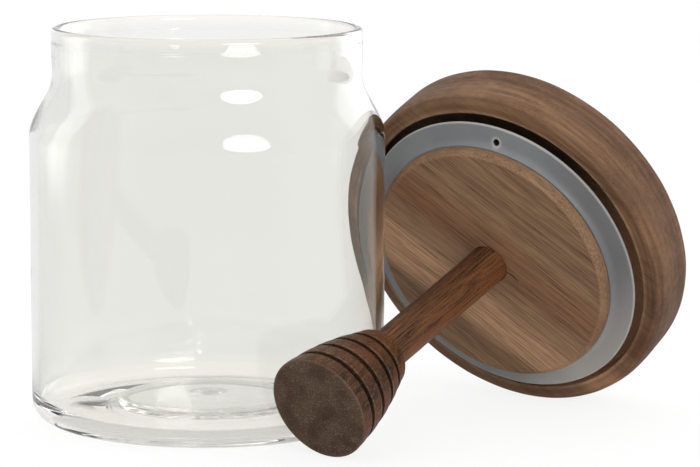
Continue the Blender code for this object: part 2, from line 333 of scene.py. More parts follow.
class StudioSettings(bpy.types.PropertyGroup):
    """Camera and light"""

    camera_offset: FloatVectorProperty(
        name="Camera Offset", description="The camera from the jar's foot", subtype="TRANSLATION",
        default=(0.0338, -0.8668, 0.1829))
    camera_yaw: FloatProperty(
        name="Camera Yaw", description="Turn to the right", subtype="ANGLE", default=math.radians(0.419))
    camera_pitch: FloatProperty(
        name="Camera Pitch", description="Turn down", subtype="ANGLE", default=math.radians(8.579))
    camera_roll: FloatProperty(
        name="Camera Roll", description="Roll", subtype="ANGLE", default=math.radians(0.189))
    lamp_azimuth: FloatProperty(
        name="Lamp Azimuth", description="From the viewer's side to the right", subtype="ANGLE",
        default=math.radians(28.0))
    lamp_elevation: FloatProperty(
        name="Lamp Elevation", description="Up from the level", subtype="ANGLE", default=math.radians(22.0))
    lamp_distance: FloatProperty(
        name="Lamp Distance", description="From the jar's middle", unit="LENGTH", default=1.7)
    lamp_width: FloatProperty(name="Lamp Width", description="Width of the oval", unit="LENGTH", default=0.88)
    lamp_height: FloatProperty(
        name="Lamp Height", description="Height of the oval", unit="LENGTH", default=0.95)
    lamp_radiance: FloatProperty(name="Lamp Radiance", description="Brightness of its face", default=5.2)
    world_strength: FloatProperty(
        name="World", description="Strength of the pale surroundings", default=1.0)
    floor_size: FloatProperty(
        name="Floor Size", description="Radius of the floor", unit="LENGTH", default=6.0)


GROUPS = {
    "honey_jar_sizes": JarSizes,
    "honey_lid_sizes": LidSizes,
    "honey_ring_sizes": RingSizes,
    "honey_dipper_sizes": DipperSizes,
    "honey_colours": FinishColours,
    "honey_studio": StudioSettings,
}


def arc(centre, radii, start, end, steps):
    """Points on an ellipse about centre, from the start to the end angle in degrees."""
    points = []
    for i in range(steps + 1):
        angle = math.radians(start + (end - start) * i / steps)
        points.append((centre[0] + radii[0] * math.cos(angle), centre[1] + radii[1] * math.sin(angle)))
    return points


def line(first, last, steps):
    """Points from the first towards the last, without the last."""
    return [(first[0] + (last[0] - first[0]) * i / steps, first[1] + (last[1] - first[1]) * i / steps)
            for i in range(steps)]


def smooth_through(points, steps):
    """A soft curve through a few points, with steps points on each stretch."""
    found = []
    padded = [points[0]] + list(points) + [points[-1]]
    for before, first, second, after in zip(padded, padded[1:], padded[2:], padded[3:]):
        for i in range(steps):
            t = i / steps
            pair = []
            for p0, p1, p2, p3 in zip(before, first, second, after):
                pair.append(0.5 * (2 * p1 + (p2 - p0) * t + (2 * p0 - 5 * p1 + 4 * p2 - p3) * t * t
                                   + (3 * p1 - p0 - 3 * p2 + p3) * t ** 3))
            found.append(tuple(pair))
    found.append(tuple(points[-1]))
    return found


def linked(name, data):
    """A new object of the scene at the origin."""
    obj = bpy.data.objects.new(name, data)
    bpy.context.scene.collection.objects.link(obj)
    return obj


def turned(name, outline, sides, ring=False):
    """Turn an outline of (radius, height) points about Z into a plain mesh object."""
    mesh = bpy.data.meshes.new(name + "_outline")
    count = len(outline)
    edges = [(i, i + 1) for i in range(count - 1)] + ([(count - 1, 0)] if ring else [])
    mesh.from_pydata([(radius, 0.0, height) for radius, height in outline], edges, [])
    source = linked(name + "_outline", mesh)
    screw = source.modifiers.new("Turn", "SCREW")
    screw.axis = "Z"
    screw.angle = math.tau
    screw.steps = sides
    screw.render_steps = sides
    screw.use_merge_vertices = True
    screw.merge_threshold = 0.000001
    obj = plain_copy(source, name)
    bpy.data.objects.remove(source)
    return obj


def plain_copy(source, name):
    """The evaluated object as a new plain mesh object at the origin."""
    bpy.context.view_layer.update()
    depsgraph = bpy.context.evaluated_depsgraph_get()
    mesh = bpy.data.meshes.new_from_object(source.evaluated_get(depsgraph))
    mesh.name = name
    mesh.transform(source.matrix_world)
    return linked(name, mesh)


def move_points(obj, rule):
    """Move every point of a mesh to where the rule, a function of the (n, 3) array, puts it."""
    mesh = obj.data
    points = np.zeros(len(mesh.vertices) * 3)
    mesh.vertices.foreach_get("co", points)
    mesh.vertices.foreach_set("co", rule(points.reshape(-1, 3)).ravel())
    mesh.update()


def cut(obj, cutter):
    """Cut the cutter's shape out of the object for good, and remove the cutter."""
    boolean = obj.modifiers.new("Cut", "BOOLEAN")
    boolean.operation = "DIFFERENCE"
    boolean.solver = "EXACT"
    boolean.object = cutter
    result = plain_copy(obj, obj.name + "_cut")
    obj.modifiers.remove(boolean)
    old = obj.data
    obj.data = result.data
    obj.data.name = obj.name
    bpy.data.objects.remove(result)
    bpy.data.objects.remove(cutter)
    bpy.data.meshes.remove(old)


def shaped(name, shape):
    """The shape, a bmesh that is used up, as a new object."""
    mesh = bpy.data.meshes.new(name)
    shape.to_mesh(mesh)
    shape.free()
    return linked(name, mesh)


def cylinder(name, radius, low, high, sides, matrix):
    """A closed cylinder along Z from low to high, moved by the matrix."""
    shape = bmesh.new()
    bmesh.ops.create_cone(
        shape, cap_ends=True, segments=sides, radius1=radius, radius2=radius, depth=high - low)
    bmesh.ops.translate(shape, verts=shape.verts, vec=(0.0, 0.0, (high + low) / 2))
    bmesh.ops.transform(shape, verts=shape.verts, matrix=matrix)
    return shaped(name, shape)


def settle(obj, matrix, material, nodes, sharp=40.0):
    obj.data.transform(matrix)
    obj.data.materials.clear()
    obj.data.materials.append(material)
    obj.data.shade_smooth()
    obj.data.set_sharp_from_angle(angle=math.radians(sharp))
    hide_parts(*nodes)
    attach(obj, BODY)


def resting_height(outline, lean):
    """Height of the outline's origin when the leaned, turned shape just touches the floor."""
    return max(radius * math.sin(abs(lean)) - height * math.cos(lean) for radius, height in outline)


def lid_matrix(lid):
    """The lid leans beside the jar with its edge on the floor."""
    height = resting_height(lid_outline(lid), lid.lean)
    place = JAR_FOOT + Vector((lid.offset[0], lid.offset[1], height))
    return Matrix.Translation(place) @ Euler((lid.lean, 0.0, lid.turn)).to_matrix().to_4x4()


def dipper_matrix(lid, dipper):
    """The dipper's axis runs through the lid's centre, and the edge of its end touches the floor."""
    place = lid_matrix(lid).translation
    reach = math.hypot(dipper.length, dipper.end_radius)
    lean = -(math.atan2(dipper.end_radius, dipper.length) + math.acos((place.z - JAR_FOOT.z) / reach))
    return Matrix.Translation(place) @ Euler((lean, 0.0, dipper.turn)).to_matrix().to_4x4()


def shoulder(jar, low_radius, high_radius, steps=40):
    """The shoulder runs from the body in to the neck in one soft double curve."""
    points = []
    for i in range(steps + 1):
        share = i / steps
        radius = high_radius + (low_radius - high_radius) * (1 + math.cos(math.pi * share)) / 2
        points.append((radius, jar.shoulder_low + (jar.shoulder_high - jar.shoulder_low) * share))
    return points


def jar_outline(jar):
    """From the middle of the inner floor, up the inside, over the lip and down the outside."""
    inner_body = jar.body_radius - jar.body_wall
    inner_neck = jar.neck_radius - jar.neck_wall
    dome_top = jar.kick + jar.base
    floor_edge = inner_body - jar.inner_corner
    ring = jar.foot_ring
    floor = [
        (0.0, dome_top - jar.dimple_depth), (jar.dimple_radius * 0.5, dome_top - jar.dimple_depth * 0.6),
        (jar.dimple_radius, dome_top), (ring * 0.78, dome_top - jar.kick * 0.15),
        (ring * 0.90, dome_top - jar.kick * 0.5), (ring * 1.03, jar.base + 0.0002), (floor_edge, jar.base),
    ]
    points = smooth_through(floor, 8)[:-1]
    corner = jar.inner_corner
    points += arc((floor_edge, jar.base + corner), (corner, corner), -90, 0, 12)
    points += line(points[-1], (inner_body, jar.shoulder_low), 16)[1:]
    points += shoulder(jar, inner_body, inner_neck)
    lip_low = jar.height - jar.lip_depth
    inner_lip = inner_neck - jar.lip_bead
    lip_wall = (jar.lip_radius - inner_lip) / 2
    bead_start, bead_middle, straight_start = (jar.height - depth for depth in (0.0055, 0.0035, 0.0025))
    points += smooth_through([points[-1], (inner_neck, bead_start),
                              (inner_neck - jar.lip_bead * 0.5, bead_middle),
                              (inner_lip, jar.height - lip_wall)], 6)[1:-1]
    points += arc((inner_lip + lip_wall, jar.height - lip_wall), (lip_wall, lip_wall), 180, 0, 20)
    points += line((jar.lip_radius, straight_start), (jar.lip_radius, lip_low), 2)
    points += line((jar.lip_radius, lip_low), (jar.neck_radius, lip_low - jar.lip_swell), 4)
    points += list(reversed(shoulder(jar, jar.body_radius, jar.neck_radius)))
    foot = jar.foot_corner
    points += line(points[-1], (jar.body_radius, foot), 16)[1:]
    points += arc((jar.body_radius - foot, foot), (foot, foot), 0, -90, 14)
    under = [(ring, 0.0), (ring * 0.91, jar.kick * 0.5), (ring * 0.76, jar.kick * 0.88), (0.0, jar.kick)]
    points += smooth_through(under, 8)
    return points


def lid_outline(lid):
    """From the middle of the top, down the outside, over the rim, round the groove to the plug."""
    top_edge = lid.radius - lid.side_taper - lid.top_round
    crown = [(0.0, lid.thickness + lid.crown), (top_edge * 0.6, lid.thickness + lid.crown * 0.7),
             (top_edge, lid.thickness)]
    points = smooth_through(crown, 6)[:-1]
    points += arc((top_edge, lid.thickness - lid.top_round), (lid.top_round, lid.top_round), 90, 0, 12)
    side = [points[-1], (lid.radius, lid.thickness * 0.45),
            (lid.radius - lid.side_taper * 0.5, lid.thickness * 0.2), (lid.rim_outer, lid.rim_round)]
    points += smooth_through(side, 6)[1:-1]
    points += arc((lid.rim_outer - lid.rim_round, lid.rim_round), (lid.rim_round, lid.rim_round), 0, -90, 8)
    edge_start, edge_round = 0.0002, 0.0003
    points += line(points[-1], (lid.groove_radius + edge_start, 0.0), 10)[1:]
    points += arc((lid.groove_radius + edge_round, edge_round), (edge_round, edge_round), -90, -180, 3)
    points += line(points[-1], (lid.groove_radius, lid.groove_depth), 8)[1:]
    points += line((lid.groove_radius, lid.groove_depth), (lid.seat_radius, lid.groove_depth), 8)
    edge = lid.plug_chamfer - lid.plug_height
    lip_start = edge + lid.plug_lip
    points.append((lid.seat_radius, lid.groove_depth))
    points += [(lid.seat_radius, lip_start), (lid.plug_radius, lip_start)]
    chamfer_swell, face_start = 0.00015, lid.plug_face - 0.0008
    chamfer = [(lid.plug_radius, edge * 0.94), (lid.plug_radius, edge),
               ((lid.plug_radius + lid.plug_face) / 2, (edge - lid.plug_height) / 2 - chamfer_swell),
               (lid.plug_face, -lid.plug_height), (face_start, -lid.plug_height)]
    points += smooth_through(chamfer, 5)
    points += line(points[-1], (0.0, -lid.plug_height), 24)[1:]
    points.append((0.0, -lid.plug_height))
    return points


def ring_outline(lid, ring):
    """Section of the silicone ring: the band on the plug, and the fin that stands out from it."""
    band_low = -(lid.plug_height - lid.plug_chamfer - lid.plug_lip) + ring.gap
    band_high = band_low + ring.band_height
    inner = lid.seat_radius + ring.gap
    root_face = -ring.fin_stand - (ring.fin_root - ring.fin_thickness) / 2
    tip = ring.fin_thickness / 2
    band = ring.band_radius
    points = line((inner, band_high), (band, band_high), 3)
    points += line((band, band_high), (band, root_face + ring.fin_root), 4)
    points += line((band, root_face + ring.fin_root), (ring.fin_radius - tip, 2 * tip - ring.fin_stand), 8)
    points += arc((ring.fin_radius - tip, tip - ring.fin_stand), (tip, tip), 90, -90, 10)
    # How far out from the band, and how far below the fin, its hollow corner runs
    corner = ((0.0032, 0.0), (0.0012, 0.0004), (0.0003, 0.0011))
    face = [(band + out, root_face - below) for out, below in corner]
    points += smooth_through([points[-1]] + face + [(band, band_low)], 5)[1:-1]
    points += line((band, band_low), (inner, band_low), 2)
    points += line((inner, band_low), (inner, band_high), 6)
    return points


class Amount:
    """A number that flows through a node tree: sums with it become Math nodes."""

    def __init__(self, tree, socket):
        self.tree = tree
        self.socket = socket

    def __add__(self, other):
        return reckon(self.tree, "ADD", self, other)

    def __sub__(self, other):
        return reckon(self.tree, "SUBTRACT", self, other)

    def __mul__(self, other):
        return reckon(self.tree, "MULTIPLY", self, other)

    def __truediv__(self, other):
        return reckon(self.tree, "DIVIDE", self, other)

    def __rsub__(self, other):
        return reckon(self.tree, "SUBTRACT", other, self)

    __radd__ = __add__
    __rmul__ = __mul__


def feed(tree, value, socket):
    """Give a socket a plain value, or link it to another socket or an Amount."""
    if isinstance(value, Amount):
        value = value.socket
    if isinstance(value, bpy.types.NodeSocket):
        tree.links.new(value, socket)
    else:
        socket.default_value = value


def add_node(tree, kind, inputs=(), **settings):
    """A new node with its settings, and inputs given as pairs of socket name or number and value."""
    node = tree.nodes.new(kind)
    for name, value in settings.items():
        setattr(node, name, value)
    for name, value in dict(inputs).items():
        feed(tree, value, node.inputs[name])
    return node


def reckon(tree, operation, *values):
    """The result of a Math node."""
    node = add_node(tree, "ShaderNodeMath", dict(enumerate(values)), operation=operation)
    return Amount(tree, node.outputs[0])


def ranged(value, low, high, to_low=0.0, to_high=1.0, soft=False):
    """Map the value from the low to high range onto another, clamped at its ends."""
    node = add_node(value.tree, "ShaderNodeMapRange",
                    {"Value": value, "From Min": low, "From Max": high, "To Min": to_low, "To Max": to_high},
                    interpolation_type="SMOOTHSTEP" if soft else "LINEAR")
    return Amount(value.tree, node.outputs["Result"])


def parts_of(tree, vector):
    """The X, Y and Z of a vector."""
    node = add_node(tree, "ShaderNodeSeparateXYZ", {0: vector})
    return [Amount(tree, socket) for socket in node.outputs]


def hypotenuse(x, y):
    """The distance of a point from the Z axis, from its X and Y."""
    return reckon(x.tree, "SQRT", x * x + y * y)


def vector_of(tree, x, y, z):
    return add_node(tree, "ShaderNodeCombineXYZ", {0: x, 1: y, 2: z}).outputs[0]


def noise_of(tree, vector, scale=1.0, detail=2.0, rough=0.5):
    node = add_node(tree, "ShaderNodeTexNoise",
                    {"Vector": vector, "Scale": scale, "Detail": detail, "Roughness": rough})
    return Amount(tree, node.outputs[0])


def stretched(tree, vector, length, width, shift, detail=2.0):
    """Noise drawn out along X: streaks of a length and a width."""
    size = vector_of(tree, length, width, width)
    shrunk = add_node(tree, "ShaderNodeVectorMath", {0: vector, 1: size}, operation="DIVIDE").outputs[0]
    moved = add_node(tree, "ShaderNodeVectorMath", {0: shrunk, 1: (shift, -shift, shift)}, operation="ADD")
    return noise_of(tree, moved.outputs[0], detail=detail)


def mixed(tree, share, first, second):
    """A colour between two colours."""
    node = add_node(tree, "ShaderNodeMix", data_type="RGBA")
    feed(tree, share, node.inputs[0])
    feed(tree, first, node.inputs[6])
    feed(tree, second, node.inputs[7])
    return node.outputs[2]


def darkened(tree, share, colour, factor):
    """A colour times a factor for red, green and blue, as far as the share goes."""
    node = add_node(tree, "ShaderNodeMix", data_type="RGBA", blend_type="MULTIPLY")
    feed(tree, share, node.inputs[0])
    feed(tree, colour, node.inputs[6])
    feed(tree, factor, node.inputs[7])
    return node.outputs[2]


def mixed_amount(share, first, second):
    """A number between two numbers."""
    return first + (second - first) * share


def solid(colour):
    """The colour with full alpha, as a colour socket takes it."""
    return (*colour, 1.0)


def past_groove(along, first, pitch, last_number):
    """How far past the middle of the nearest groove a place along the dipper lies."""
    number = reckon(along.tree, "ROUND", (along - first) / pitch)
    existing = reckon(along.tree, "MINIMUM", number, last_number)
    return along - first - reckon(along.tree, "MAXIMUM", existing, 0.0) * pitch


def new_group(name, kind, inputs, outputs):
    """A node group with named sockets, its input node and its output node.

    Inputs are (name, socket type, default or None), and outputs are (name, socket type).
    """
    tree = bpy.data.node_groups.new(name, kind)
    for label, socket_type, default in inputs:
        socket = tree.interface.new_socket(label, in_out="INPUT", socket_type=socket_type)
        if default is not None:
            socket.default_value = default
    for label, socket_type in outputs:
        tree.interface.new_socket(label, in_out="OUTPUT", socket_type=socket_type)
    return tree, tree.nodes.new("NodeGroupInput"), tree.nodes.new("NodeGroupOutput")


def wood_grain_group():
    """Wood with its fibres along X, measured in millimetres. A redder streak can run along it."""
    if "Wood Grain" in bpy.data.node_groups:
        return bpy.data.node_groups["Wood Grain"]
    tree, given, result = new_group("Wood Grain", "ShaderNodeTree", [
        ("Position", "NodeSocketVector", None),
        ("Light", "NodeSocketColor", None),
        ("Dark", "NodeSocketColor", None),
        ("Heart", "NodeSocketColor", None),
        ("Pore", "NodeSocketColor", None),
        ("Heart Place", "NodeSocketFloat", 0.0),
        ("Heart Width", "NodeSocketFloat", 10.0),
        ("Contrast", "NodeSocketFloat", 1.0),
        ("Fibre Length", "NodeSocketFloat", 14.0),
        ("Fibre Width", "NodeSocketFloat", 0.24),
        ("Pore Length", "NodeSocketFloat", 10.0),
        ("Pore Width", "NodeSocketFloat", 0.17),
        ("Pore Strength", "NodeSocketFloat", 0.62),
    ], [("Colour", "NodeSocketColor"), ("Roughness", "NodeSocketFloat"), ("Height", "NodeSocketFloat")])
    place = given.outputs["Position"]
    across = parts_of(tree, place)[1]
    contrast = Amount(tree, given.outputs["Contrast"])
    broad = stretched(tree, place, 130.0, 11.0, 3.1, detail=1.0)
    streaks = stretched(tree, place, 90.0, 1.7, 5.7, detail=3.0)
    fibres = stretched(tree, place, given.outputs["Fibre Length"], given.outputs["Fibre Width"], 7.7)
    dots = stretched(tree, place, given.outputs["Pore Length"], given.outputs["Pore Width"], 1.9, detail=0.0)
    pores = ranged(dots, 0.60, 0.68, soft=True)
    # Growth lines lie where a slow noise passes its middle
    growth = reckon(tree, "ABSOLUTE", stretched(tree, place, 210.0, 5.5, 9.3, detail=2.0) - 0.5)
    lines = ranged(growth, 0.0, 0.016, 1.0, 0.0) * ranged(streaks, 0.4, 0.6)
    beside = across - Amount(tree, given.outputs["Heart Place"]) + (broad - 0.5) * 14.0
    away = reckon(tree, "ABSOLUTE", beside) / Amount(tree, given.outputs["Heart Width"])
    heart = ranged(away, 0.2, 1.0, 1.0, 0.0, soft=True)
    tone = ((broad - 0.5) * 1.5 + (streaks - 0.5) * 1.2 + (fibres - 0.5) * 1.1) * contrast + 0.56
    wood = mixed(tree, ranged(tone, 0.0, 1.0), given.outputs["Dark"], given.outputs["Light"])
    reddened = mixed(tree, heart * ranged(tone, 0.0, 1.0, 0.9, 0.45), wood, given.outputs["Heart"])
    strength = Amount(tree, given.outputs["Pore Strength"])
    dark = reckon(tree, "MAXIMUM", pores, lines * 0.8) * strength
    feed(tree, mixed(tree, dark, reddened, given.outputs["Pore"]), result.inputs["Colour"])
    feed(tree, 0.64 - tone * 0.1 + pores * 0.15, result.inputs["Roughness"])
    feed(tree, fibres * 0.5 + tone * 0.15 - dark * 0.6, result.inputs["Height"])
    return tree


def handling_group():
    """Faint marks of handling: patches and fine specks, from 0 to 1."""
    if "Handling Marks" in bpy.data.node_groups:
        return bpy.data.node_groups["Handling Marks"]
    tree, given, result = new_group("Handling Marks", "ShaderNodeTree", [
        ("Position", "NodeSocketVector", None),
        ("Patch Size", "NodeSocketFloat", 25.0),
        ("Speck Size", "NodeSocketFloat", 0.8),
    ], [("Marks", "NodeSocketFloat"), ("Specks", "NodeSocketFloat")])
    place = given.outputs["Position"]
    patches = noise_of(tree, place, reckon(tree, "DIVIDE", 1.0, given.outputs["Patch Size"]), detail=3.0)
    specks = noise_of(tree, place, reckon(tree, "DIVIDE", 1.0, given.outputs["Speck Size"]), detail=2.0)
    feed(tree, ranged(patches, 0.35, 0.75, soft=True), result.inputs["Marks"])
    feed(tree, ranged(specks, 0.58, 0.68), result.inputs["Specks"])
    return tree


def new_material(name):
    """A material, its node tree and its Principled BSDF."""
    material = bpy.data.materials.new(name)
    material.use_nodes = True
    return material, material.node_tree, material.node_tree.nodes["Principled BSDF"]


def own_position(tree, matrix):
    """Position in a piece's own frame, in metres, whatever its place in the frame is."""
    coordinates = add_node(tree, "ShaderNodeTexCoord")
    return add_node(tree, "ShaderNodeMapping", {
        "Vector": coordinates.outputs["Object"], "Location": matrix.translation,
        "Rotation": matrix.to_euler(),
    }, vector_type="TEXTURE").outputs[0]


def in_millimetres(tree, vector, rotation=(0.0, 0.0, 0.0)):
    """A position in metres, turned and made millimetres."""
    return add_node(tree, "ShaderNodeMapping", {
        "Vector": vector, "Rotation": rotation, "Scale": (MILLIMETRES, MILLIMETRES, MILLIMETRES),
    }, vector_type="POINT").outputs[0]


def handling_marks(tree, position, sizes=()):
    """Patches and specks of handling as two Amounts, with the sizes given by socket name."""
    inputs = {"Position": position, **dict(sizes)}
    marks = add_node(tree, "ShaderNodeGroup", inputs, node_tree=handling_group())
    return Amount(tree, marks.outputs["Marks"]), Amount(tree, marks.outputs["Specks"])


def relief(tree, height, distance, shader, strength=1.0):
    """Bump that the shader sees: the height times a distance in metres."""
    bump = add_node(tree, "ShaderNodeBump", {"Height": height, "Distance": distance, "Strength": strength})
    tree.links.new(bump.outputs[0], shader.inputs["Normal"])


def glass_material(colours, jar):
    """Clear soda glass, a little yellow where it's thick or seen along its edge."""
    material, tree, shader = new_material("clear_jar_glass")
    position = in_millimetres(tree, own_position(tree, Matrix.Translation(JAR_FOOT)))
    height = parts_of(tree, position)[2]
    top = jar.height * MILLIMETRES
    # Heights in millimetres between which the thin wall's tint changes to the thick glass's
    lip = ranged(height, top - 3.5, top - 0.5, soft=True)
    foot = ranged(height, 9.0, 3.0, soft=True)
    edge = reckon(tree, "MAXIMUM", lip, foot)
    tint = mixed(tree, edge, solid(colours.glass), solid(colours.glass_edge))
    feed(tree, tint, shader.inputs["Base Color"])
    patches = handling_marks(tree, position, {"Patch Size": 30.0})[0]
    feed(tree, patches * 0.008, shader.inputs["Roughness"])
    shader.inputs["Transmission Weight"].default_value = 1.0
    shader.inputs["IOR"].default_value = 1.47
    relief(tree, noise_of(tree, position, scale=1.0 / 18.0, detail=1.0), 0.00005, shader)
    # Lamps shine through the glass as through a clear sheet
    for_lamps = add_node(tree, "ShaderNodeBsdfTransparent", {"Color": solid(colours.glass_shadow)})
    path = add_node(tree, "ShaderNodeLightPath")
    mix = add_node(tree, "ShaderNodeMixShader", {
        0: path.outputs["Is Shadow Ray"], 1: shader.outputs[0], 2: for_lamps.outputs[0]})
    tree.links.new(mix.outputs[0], tree.nodes["Material Output"].inputs["Surface"])
    return material


def lid_material(colours, lid, matrix):
    """Dry brown hardwood, sanded, with a redder streak and raw grain on the plug's chamfer."""
    material, tree, shader = new_material("brown_lid_wood")
    position = own_position(tree, matrix)
    x, y, z = parts_of(tree, position)
    from_axis = hypotenuse(x, y)
    rim = ranged(from_axis, lid.groove_radius + 0.0003, lid.groove_radius + 0.0015, soft=True)

    along_grain = in_millimetres(tree, position, (0.0, 0.0, -lid.grain))
    across = parts_of(tree, along_grain)[1]
    off_streak = reckon(tree, "ABSOLUTE", across - lid.pale_streak * MILLIMETRES)
    pale = ranged(off_streak, 3.0, 9.0, 1.0, 0.0, soft=True)
    grain = add_node(tree, "ShaderNodeGroup", {
        "Position": along_grain,
        "Light": mixed(tree, pale, solid(colours.lid_light), solid(colours.lid_tan)),
        "Dark": mixed(tree, pale * 0.85, solid(colours.lid_dark), solid(colours.lid_light)),
        "Pore": solid(colours.lid_pore), "Heart": solid(colours.lid_heart),
        "Heart Place": -3.0, "Heart Width": 12.0, "Pore Strength": 0.62 - rim * 0.45,
    }, node_tree=wood_grain_group())

    chamfer = (ranged(from_axis, lid.plug_face - 0.0008, lid.plug_face + 0.0002, soft=True)
               * ranged(z, -lid.plug_lip, -lid.plug_lip * 1.4))
    crest = chamfer * ranged(from_axis, lid.plug_face + 0.0008, lid.plug_face, 0.3, 1.0, soft=True)
    raw = noise_of(tree, in_millimetres(tree, position), scale=2.6, detail=2.0)
    upper_right = ranged((x * 0.6 - y * 0.8) / from_axis, -0.6, 0.7, 0.15, 1.0, soft=True)
    ragged = crest * ranged(raw, 0.42, 0.58, 0.05, 1.0) * upper_right

    # Mirrored about one diameter, so that the streaks left by turning have no seam
    around = reckon(tree, "ABSOLUTE", reckon(tree, "ARCTAN2", y, x)) * (lid.radius * MILLIMETRES)
    turned_place = vector_of(tree, around, z * MILLIMETRES, from_axis * MILLIMETRES)
    turning = stretched(tree, turned_place, 24.0, 1.2, 4.3)
    streaked = darkened(tree, rim, grain.outputs["Colour"], ranged(turning, 0.30, 0.70, 0.68, 1.22))
    deeper = darkened(tree, rim, streaked, solid(colours.lid_outside))
    patches = handling_marks(tree, in_millimetres(tree, position))[0]
    outside = ranged(z, lid.thickness * 0.35, lid.thickness * 0.7, soft=True) * patches
    # Painted shade: the rim is darker towards its right side, away from the light. Below it is mixed with the
    # handling marks on the upper side.
    painted_shade_right = rim * ranged(x / from_axis, 0.35, 0.95, 0.0, 0.7, soft=True)
    marks_and_shade = reckon(tree, "MAXIMUM", outside * 0.85, painted_shade_right)
    handled = darkened(tree, marks_and_shade, deeper, solid(colours.lid_outside))

    # Painted shade deep in the groove, with painted light on its wall towards the lower right
    groove_shade_mask = (ranged(from_axis, lid.groove_radius + 0.0002, lid.groove_radius) * ranged(z, 0.0, 0.0012)
                 * ranged(z, lid.groove_depth + 0.0012, lid.groove_depth + 0.0004))
    lit_lower_right = ranged((x * 0.75 + y * 0.65) / from_axis, -0.1, 0.9, soft=True)
    depth = mixed(tree, lit_lower_right, solid(colours.lid_shade), solid(colours.lid_tan))
    shaded = mixed(tree, groove_shade_mask * 0.75, handled, depth)

    feed(tree, mixed(tree, ragged, shaded, solid(colours.lid_raw)), shader.inputs["Base Color"])
    feed(tree, grain.outputs["Roughness"], shader.inputs["Roughness"])
    relief(tree, Amount(tree, grain.outputs["Height"]) + chamfer * raw, 0.00025, shader)
    shader.inputs["Specular IOR Level"].default_value = 0.25
    return material


def dipper_material(colours, dipper, matrix):
    """Darker, redder, oiled hardwood, its fibres along the stick and its end grain full of specks."""
    material, tree, shader = new_material("oiled_dipper_wood")
    position = own_position(tree, matrix)
    millimetres = in_millimetres(tree, position)
    x, y, z = parts_of(tree, position)
    along = 0.0 - z
    grain = add_node(tree, "ShaderNodeGroup", {
        "Position": in_millimetres(tree, position, (0.0, math.radians(90.0), 0.0)),
        "Light": solid(colours.dipper_light), "Dark": solid(colours.dipper_dark),
        "Heart": solid(colours.dipper_heart), "Pore": solid(colours.dipper_pore),
        "Heart Place": 4.0, "Heart Width": 7.0, "Contrast": 1.9,
        "Fibre Length": 9.0, "Fibre Width": 0.38, "Pore Strength": 0.8,
    }, node_tree=wood_grain_group())
    patches, specks = handling_marks(tree, millimetres, {"Patch Size": 6.0, "Speck Size": 0.42})

    end = ranged(along, dipper.length - 0.0003, dipper.length - 0.0001)
    # Painted highlight round the rim of the end face
    rim_highlight = ranged(hypotenuse(x, y), dipper.end_radius - 0.0009, dipper.end_radius - 0.0003, soft=True)
    stained = mixed(tree, patches * 0.75, solid(colours.dipper_end), solid(colours.dipper_dark))
    scratches = ranged(stretched(tree, millimetres, 2.2, 0.35, 2.7, detail=1.0), 0.57, 0.68)
    dust = (specks * 0.85 + scratches * 0.16) * ranged(patches, 0.2, 0.9, 0.9, 0.3)
    dust_and_highlight = reckon(tree, "MAXIMUM", dust, rim_highlight * 0.2)
    end_grain = mixed(tree, dust_and_highlight, stained, solid(colours.dipper_dust))

    head = ranged(along, dipper.head_start + 0.0005, dipper.head_start + 0.002)
    deeper = darkened(tree, head, grain.outputs["Colour"], solid(colours.dipper_head))
    # Painted shade in the grooves, with a painted highlight on each one's edge towards the stick
    past = past_groove(along, dipper.first_groove, dipper.groove_pitch, dipper.grooves - 1.0)
    shadowed = ranged(reckon(tree, "ABSOLUTE", past), dipper.groove_width * 0.75, dipper.groove_width * 0.45)
    edge_highlight = ranged(reckon(tree, "ABSOLUTE", past + dipper.groove_width * 0.9), 0.0003, 0.0001)
    highlight_gaps = ranged(noise_of(tree, millimetres, scale=0.9), 0.4, 0.6)
    groove_shaded = darkened(tree, shadowed, deeper, solid(colours.dipper_char))
    specks_and_highlight = reckon(tree, "MAXIMUM", specks * 0.25, edge_highlight * highlight_gaps * 0.4)
    side = mixed(tree, specks_and_highlight, groove_shaded, solid(colours.dipper_dust))

    feed(tree, mixed(tree, end, side, end_grain), shader.inputs["Base Color"])
    feed(tree, Amount(tree, grain.outputs["Roughness"]) - 0.14 + end * 0.2, shader.inputs["Roughness"])
    shader.inputs["Specular IOR Level"].default_value = 0.2
    relief(tree, Amount(tree, grain.outputs["Height"]) + specks * 0.5, 0.0002, shader)
    return material


def silicone_material(colours, ring, matrix):
    """Frosted grey silicone, paler round the vent hole, with a painted highlight along its thin edge, painted
    light at its low side and painted shade in the vent hole and towards its right.
    """
    material, tree, shader = new_material("frosted_silicone")
    position = own_position(tree, matrix)
    x, y = parts_of(tree, position)[:2]
    from_axis = hypotenuse(x, y)
    # Painted highlight along the fin's thin edge
    edge = ranged(from_axis, ring.fin_radius - 0.0005, ring.fin_radius - 0.0001, soft=True)
    hole = vent_place(ring)
    from_hole = hypotenuse(x - hole.x, y - hole.y)
    halo = ranged(from_hole, ring.vent_radius * 2.2, ring.vent_radius * 1.2, soft=True)
    patches, specks = handling_marks(tree, in_millimetres(tree, position), {"Patch Size": 16.0})
    # Painted light on the ring's low side
    low = ranged(x * 0.6 + y * 0.8, 0.022, 0.042, soft=True)
    # Paler with the painted highlight and the painted light, round the vent hole and in patches
    pale = reckon(tree, "MAXIMUM", edge * 0.6, halo * 0.55) + patches * 0.1 + low * 0.75
    tone = mixed(tree, ranged(pale, 0.0, 1.0), solid(colours.silicone), solid(colours.silicone_edge))
    # Painted shade in the vent hole and towards the ring's right side
    inside = ranged(from_hole, ring.vent_radius * 1.04, ring.vent_radius)
    painted_shade_right = ranged(x / from_axis, 0.35, 0.95, 0.0, 0.35, soft=True)
    dark = reckon(tree, "MAXIMUM", inside, painted_shade_right)
    feed(tree, mixed(tree, dark, tone, solid(colours.silicone_shade)), shader.inputs["Base Color"])
    feed(tree, 0.5 - patches * 0.1, shader.inputs["Roughness"])
    shader.inputs["Subsurface Weight"].default_value = 0.25
    shader.inputs["Subsurface Radius"].default_value = (0.002, 0.002, 0.002)
    shader.inputs["Subsurface Scale"].default_value = 1.0
    relief(tree, specks, 0.00005, shader, strength=0.4)
    return material


